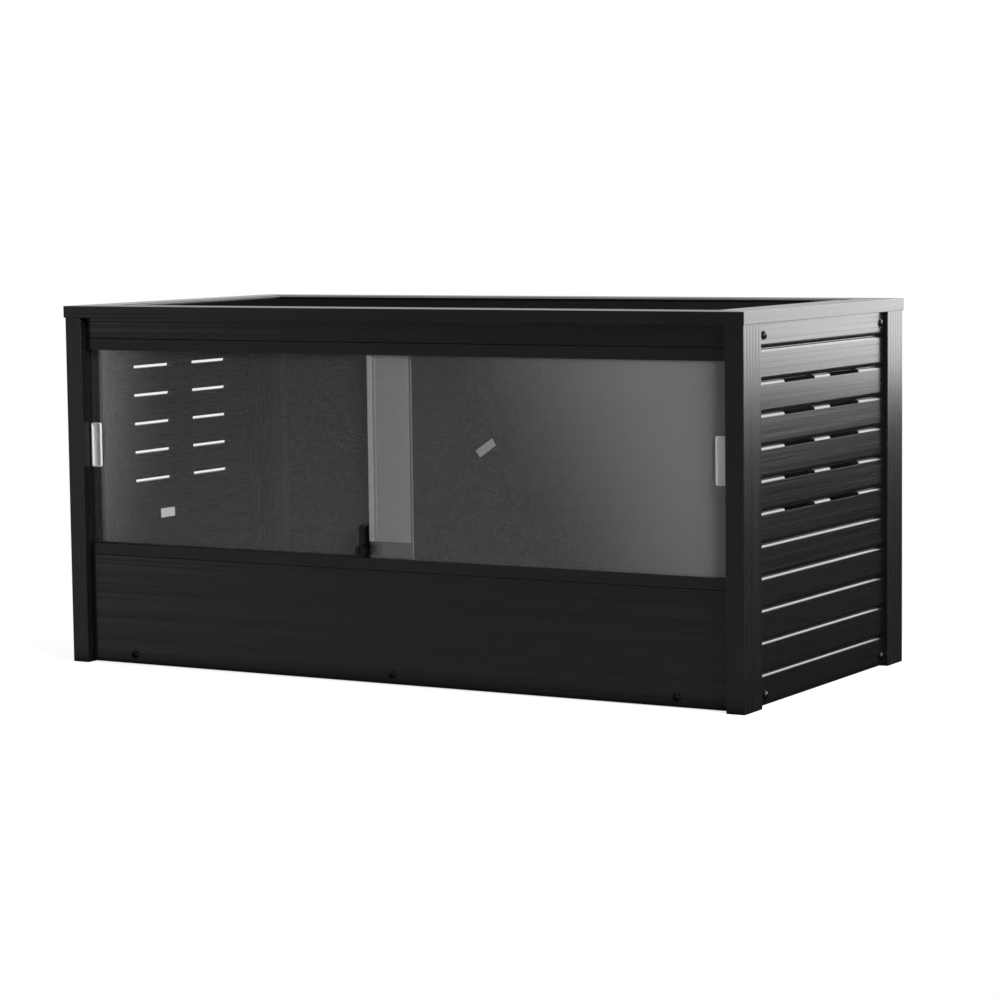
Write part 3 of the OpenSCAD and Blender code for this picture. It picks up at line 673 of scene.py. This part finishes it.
def turnedSteel():  # turned and nickel plated plug: rings left by the lathe round the keyway
    v = lock
    material, tree = newMaterial("turnedNickelSteel")
    lo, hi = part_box("lock_plug")
    middle = ((lo[0] + hi[0]) / 2, 0.0, (lo[2] + hi[2]) / 2)
    place = addNode(tree, "TexCoord").outputs["Object"]
    centred = addNode(tree, "VectorMath", [place, middle], operation="SUBTRACT")
    flat = addNode(tree, "VectorMath", [centred, (1.0, 0.0, 1.0)], operation="MULTIPLY")
    radius = addNode(tree, "VectorMath", [flat], operation="LENGTH")
    turns = addNode(tree, "Math", [radius.outputs["Value"], 2 * math.pi / (v["ringSpacing"] * mm)],
                    operation="MULTIPLY")
    rings = addNode(tree, "Math", [turns], operation="SINE")
    cloud = grained(tree, v["faceCloud"])
    colour = addNode(tree, "Mix", {0: cloud, 6: v["face"], 7: v["faceWorn"]}, data_type="RGBA")
    turned = addNode(tree, "Bump", {"Height": rings, "Distance": v["ringDepth"] * mm,
                                    "Strength": v["ringStrength"]})
    surface = addNode(tree, "BsdfPrincipled", {"Base Color": colour.outputs[2], "Metallic": 1.0,
                                               "Roughness": v["faceRoughness"], "Normal": turned})
    addNode(tree, "OutputMaterial", [surface])
    return material


spline = {
    "colour": "0f0f10",
    "worn": "1a1a1b",
    "cloudSize": 5,  # mm between paler patches
    "roughness": 0.75,
    "skinSize": 1.2,  # mm
    "skinDepth": 0.1,  # mm
    "strength": 0.4,
    "ior": 1.5,
}


def extrudedRubber():  # extruded rubber: dull, with a fine uneven skin that grips the slot
    v = spline
    material, tree = newMaterial("extrudedRubber")
    cloud = grained(tree, v["cloudSize"])
    colour = addNode(tree, "Mix", {0: cloud, 6: v["colour"], 7: v["worn"]}, data_type="RGBA")
    skin = addNode(tree, "Bump", {"Height": grained(tree, v["skinSize"], detail=1.0),
                                  "Distance": v["skinDepth"] * mm, "Strength": v["strength"]})
    surface = addNode(tree, "BsdfPrincipled", {"Base Color": colour.outputs[2],
                                               "Roughness": v["roughness"],
                                               "Normal": skin, "IOR": v["ior"]})
    addNode(tree, "OutputMaterial", [surface])
    return material


coat(floatGlass("evenHaze"), "left_glass_pane")
coat(floatGlass("paintedSheen"), "right_glass_pane")
coat(clearPvc(), "gap_strip")
coat(lacqueredAluminium(), "left_finger_pull", "right_finger_pull")
coat(lacqueredZinc(), "lock_body")
coat(turnedSteel(), "lock_plug")
coat(extrudedRubber(), "screen_spline")
print("glass and fittings ready")


wire = {
    "pitch": 6.5,  # mm between wires
    "thickness": 0.8,  # mm
    "sides": 4,  # faces round each wire
    "colour": "060607",
    "worn": "0a0a0b",
    "cloudSize": 3,  # mm between paler patches
    "roughness": 0.8,
    "specular": 0.03,  # low, because the mesh shows only as an even dark veil
    "skinSize": 1.0,  # mm
    "skinDepth": 0.05,  # mm
    "strength": 0.3,
}


def coatedWire():  # steel wire dipped in black vinyl: near matt, slightly uneven skin
    v = wire
    material, tree = newMaterial("vinylCoatedWire")
    cloud = grained(tree, v["cloudSize"])
    colour = addNode(tree, "Mix", {0: cloud, 6: v["colour"], 7: v["worn"]}, data_type="RGBA")
    skin = addNode(tree, "Bump", {"Height": grained(tree, v["skinSize"], detail=1.0),
                                  "Distance": v["skinDepth"] * mm, "Strength": v["strength"]})
    surface = addNode(tree, "BsdfPrincipled", {"Base Color": colour.outputs[2],
                                               "Roughness": v["roughness"], "Normal": skin,
                                               "Specular IOR Level": v["specular"]})
    addNode(tree, "OutputMaterial", [surface])
    return material


def weaveMesh():  # plain weave: each wire rises over one crossing and dips under the next
    lo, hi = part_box("screen_mesh")
    pitch = wire["pitch"] * mm
    radius = wire["thickness"] * mm / 2
    sides = wire["sides"]
    middle = (lo[2] + hi[2]) / 2
    countX = int((hi[0] - lo[0]) / pitch) - 1  # wires across the width
    countY = int((hi[1] - lo[1]) / pitch) - 1
    stepX = (hi[0] - lo[0]) / (countX + 1)
    stepY = (hi[1] - lo[1]) / (countY + 1)
    verts, faces = [], []

    def height(i, j):
        return middle + radius * (1 if (i + j) % 2 else -1)

    def addWire(points, sideways):  # tube with one ring at each crossing
        first = len(verts)
        for point in points:
            for k in range(sides):
                angle = 2 * math.pi * k / sides
                verts.append(tuple(point + sideways * (radius * math.cos(angle))
                                   + Vector((0, 0, radius * math.sin(angle)))))
        for ring in range(len(points) - 1):
            a = first + ring * sides
            for k in range(sides):
                n = (k + 1) % sides
                faces.append((a + k, a + n, a + sides + n, a + sides + k))
        faces.append(tuple(first + k for k in reversed(range(sides))))
        faces.append(tuple(first + (len(points) - 1) * sides + k for k in range(sides)))

    for j in range(1, countY + 1):
        y = lo[1] + j * stepY
        points = [Vector((lo[0] + i * stepX, y, height(i, j))) for i in range(countX + 2)]
        addWire(points, Vector((0, -1, 0)))
    for i in range(1, countX + 1):
        x = lo[0] + i * stepX
        points = [Vector((x, lo[1] + j * stepY, height(i, j + 1))) for j in range(countY + 2)]
        addWire(points, Vector((1, 0, 0)))
    piece = meshPiece("woven_mesh", verts, faces, coatedWire(), "screen", smooth=True)
    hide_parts("screen_mesh")


weaveMesh()
print("woven mesh ready")


labels = {
    "thickness": 0.12,  # mm
    "corner": 1.2,  # mm radius
    "cornerSteps": 4,
    "fibre": "808080",  # colour that the fibres add
    "fibreSize": 1.5,  # mm
    "fibreDepth": 0.03,  # mm
    "strength": 0.3,
    "whiteness": (0.9, 1.0),  # share of the label's own colour on and between fibres
    "roughness": 0.45,
    "ior": 1.5,
    "each": [
        # name, middle in metres, width and height in mm, tilt in degrees, facing, body, colour
        ("wall_label", (-0.6178, -0.0518, 0.2346), 41.0, 16.2, 0.0, "x", "cabinet", "fafafa"),
        # the pane label is white paper like the wall label; its mid grey is painted shade
        ("pane_label", (0.1802, -0.2896, 0.3911), 36.0, 13.2, 34.3, "-y", "right_door", "888889"),
    ],
}


def coatedPaper(name, colour):  # coated paper, left blank: pale, faint fibre mottle, soft gloss
    v = labels
    material, tree = newMaterial("coatedPaper_" + name)
    fibre = grained(tree, v["fibreSize"], detail=3.0)
    share = addNode(tree, "MapRange", [fibre, *narrow, *v["whiteness"]])
    pale = addNode(tree, "Mix", {0: share, 6: v["fibre"], 7: colour}, data_type="RGBA")
    raised = addNode(tree, "Bump", {"Height": fibre, "Distance": v["fibreDepth"] * mm,
                                    "Strength": v["strength"]})
    surface = addNode(tree, "BsdfPrincipled", {"Base Color": pale.outputs[2],
                                               "Roughness": v["roughness"],
                                               "Normal": raised, "IOR": v["ior"]})
    addNode(tree, "OutputMaterial", [surface])
    return material


def makeLabel(name, middle, width, height, tilt, facing, body, colour):
    corner, steps = labels["corner"], labels["cornerSteps"]
    outline = []
    for cx, cy, start in ((1, 1, 0), (-1, 1, 90), (-1, -1, 180), (1, -1, 270)):
        for k in range(steps + 1):
            angle = math.radians(start + k * 90 / steps)
            outline.append((cx * (width / 2 - corner) + corner * math.cos(angle),
                            cy * (height / 2 - corner) + corner * math.sin(angle)))
    out = Vector((1, 0, 0)) if facing == "x" else Vector((0, -1, 0))
    above = Vector((0, 0, 1))
    turn = math.radians(tilt)
    right = above.cross(out) * math.cos(turn) + above * math.sin(turn)
    up = out.cross(right)
    count = len(outline)
    verts = [tuple(Vector(middle) + (right * u + up * w + out * d) * mm)
             for d in (0, labels["thickness"]) for u, w in outline]
    faces = [tuple(reversed(range(count))), tuple(range(count, 2 * count))]
    faces += [(k, (k + 1) % count, count + (k + 1) % count, count + k) for k in range(count)]
    meshPiece(name, verts, faces, coatedPaper(name, colour), body)


for row in labels["each"]:
    makeLabel(*row)
print("labels ready")
